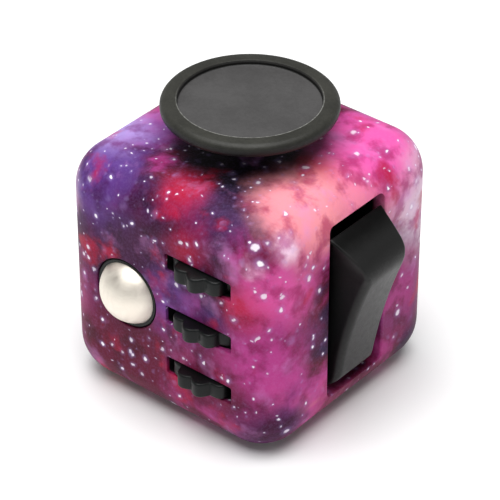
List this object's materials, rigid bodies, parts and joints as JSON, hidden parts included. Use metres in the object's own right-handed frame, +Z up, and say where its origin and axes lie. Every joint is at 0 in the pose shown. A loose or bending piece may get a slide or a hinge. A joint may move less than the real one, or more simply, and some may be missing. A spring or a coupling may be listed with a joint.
{
  "type": "fidget cube",
  "caption": "Pocket desk toy: a round-edged cube with a slide pad, lobed rollers, a press ball, a rocker, click buttons, a spin dial and a thumb dish.",
  "frame": {"origin": "centre of the cube's flat underside", "axes": "+Z up through the slide pad, -Y out of the roller face, +X out of the rocker face"},
  "size_m": [0.0395, 0.0369, 0.0384],
  "materials": {
    "shell_print": "soft-touch, printed",
    "cover_print": "soft-touch, printed",
    "steel_zinc": "satin",
    "charcoal_plastic": "fine matte",
    "slippery_plastic": "smooth",
    "inner_plastic": "as moulded",
    "soft_rubber": "soft",
    "dark_plastic": "semi-matte",
    "steel_bright": "ground",
    "ball_steel": "polished",
    "spring_steel": "bright"
  },
  "bodies": {
    "case": {"main_shell": "shell_print", "base_cover": "cover_print", "cover_screws": "steel_zinc", "slide_cup": "inner_plastic", "centring_ring": "soft_rubber", "roller_axle": "steel_bright", "roller_frame": "inner_plastic", "ball_spring": "spring_steel", "ball_sleeve": "inner_plastic", "rocker_cam": "inner_plastic", "snap_domes": "spring_steel", "quiet_pads": "soft_rubber", "button_carrier": "inner_plastic", "carrier_screws": "steel_zinc"},
    "cross": {"cross_slide": "slippery_plastic"},
    "pad": {"slide_pad": "charcoal_plastic", "pad_slider": "slippery_plastic"},
    "roller_upper": {"upper_roller": "dark_plastic"},
    "roller_middle": {"middle_roller": "dark_plastic"},
    "roller_lower": {"lower_roller": "dark_plastic"},
    "ball_holder": {"ball_cup": "dark_plastic"},
    "ball": {"steel_ball": "ball_steel"},
    "rocker_key": {"rocker": "charcoal_plastic", "rocker_plunger": "steel_bright", "rocker_spring": "spring_steel"},
    "dial": {"spin_dial": "charcoal_plastic", "dial_washer": "steel_bright", "dial_screw": "steel_zinc"},
    "press_centre": {"click_button_centre": "charcoal_plastic"},
    "press_upper_left": {"click_button_upper_left": "charcoal_plastic"},
    "press_upper_right": {"click_button_upper_right": "charcoal_plastic"},
    "press_lower_right": {"click_button_lower_right": "charcoal_plastic"},
    "press_lower_left": {"click_button_lower_left": "charcoal_plastic"}
  },
  "joints": [
    {"name": "pad_slide_y", "type": "slide", "parent": "case", "child": "cross", "axis": [0, 1, 0], "range_m": [-0.0012, 0.0012], "stiffness_N_per_m": 300},
    {"name": "pad_slide_x", "type": "slide", "parent": "cross", "child": "pad", "axis": [1, 0, 0], "range_m": [-0.0012, 0.0012], "stiffness_N_per_m": 300, "deforming": ["centring_ring"]},
    {"name": "upper_roller_turn", "type": "hinge", "parent": "case", "child": "roller_upper", "pos_m": [0.0057, -0.0135, 0.024], "axis": [0, 0, 1], "continuous": true},
    {"name": "middle_roller_turn", "type": "hinge", "parent": "case", "child": "roller_middle", "pos_m": [0.0057, -0.0135, 0.0165], "axis": [0, 0, 1], "continuous": true},
    {"name": "lower_roller_turn", "type": "hinge", "parent": "case", "child": "roller_lower", "pos_m": [0.0057, -0.0135, 0.009], "axis": [0, 0, 1], "continuous": true},
    {"name": "ball_press", "type": "slide", "parent": "case", "child": "ball_holder", "axis": [0, 1, 0], "range_m": [0, 0.0008], "stiffness_N_per_m": 1500, "deforming": ["ball_spring"]},
    {"name": "ball_roll", "type": "hinge", "parent": "ball_holder", "child": "ball", "pos_m": [-0.0056, -0.0147, 0.0165], "axis": [0, 0, 1], "continuous": true},
    {"name": "rocker_flip", "type": "hinge", "parent": "case", "child": "rocker_key", "pos_m": [0.0102, 0, 0.01705], "axis": [0, -1, 0], "range_deg": [0, 30]},
    {"name": "button_centre_press", "type": "slide", "parent": "case", "child": "press_centre", "axis": [0, -1, 0], "range_m": [0, 0.0007], "stiffness_N_per_m": 1500, "deforming": ["snap_domes"]},
    {"name": "button_upper_left_press", "type": "slide", "parent": "case", "child": "press_upper_left", "axis": [0, -1, 0], "range_m": [0, 0.0007], "stiffness_N_per_m": 1500, "deforming": ["snap_domes"]},
    {"name": "button_upper_right_press", "type": "slide", "parent": "case", "child": "press_upper_right", "axis": [0, -1, 0], "range_m": [0, 0.0007], "stiffness_N_per_m": 1500, "deforming": ["quiet_pads"]},
    {"name": "button_lower_right_press", "type": "slide", "parent": "case", "child": "press_lower_right", "axis": [0, -1, 0], "range_m": [0, 0.0007], "stiffness_N_per_m": 1500, "deforming": ["snap_domes"]},
    {"name": "button_lower_left_press", "type": "slide", "parent": "case", "child": "press_lower_left", "axis": [0, -1, 0], "range_m": [0, 0.0007], "stiffness_N_per_m": 1500, "deforming": ["quiet_pads"]},
    {"name": "dial_turn", "type": "hinge", "parent": "case", "child": "dial", "pos_m": [-0.0165, 0, 0.0165], "axis": [-1, 0, 0], "continuous": true}
  ]
}
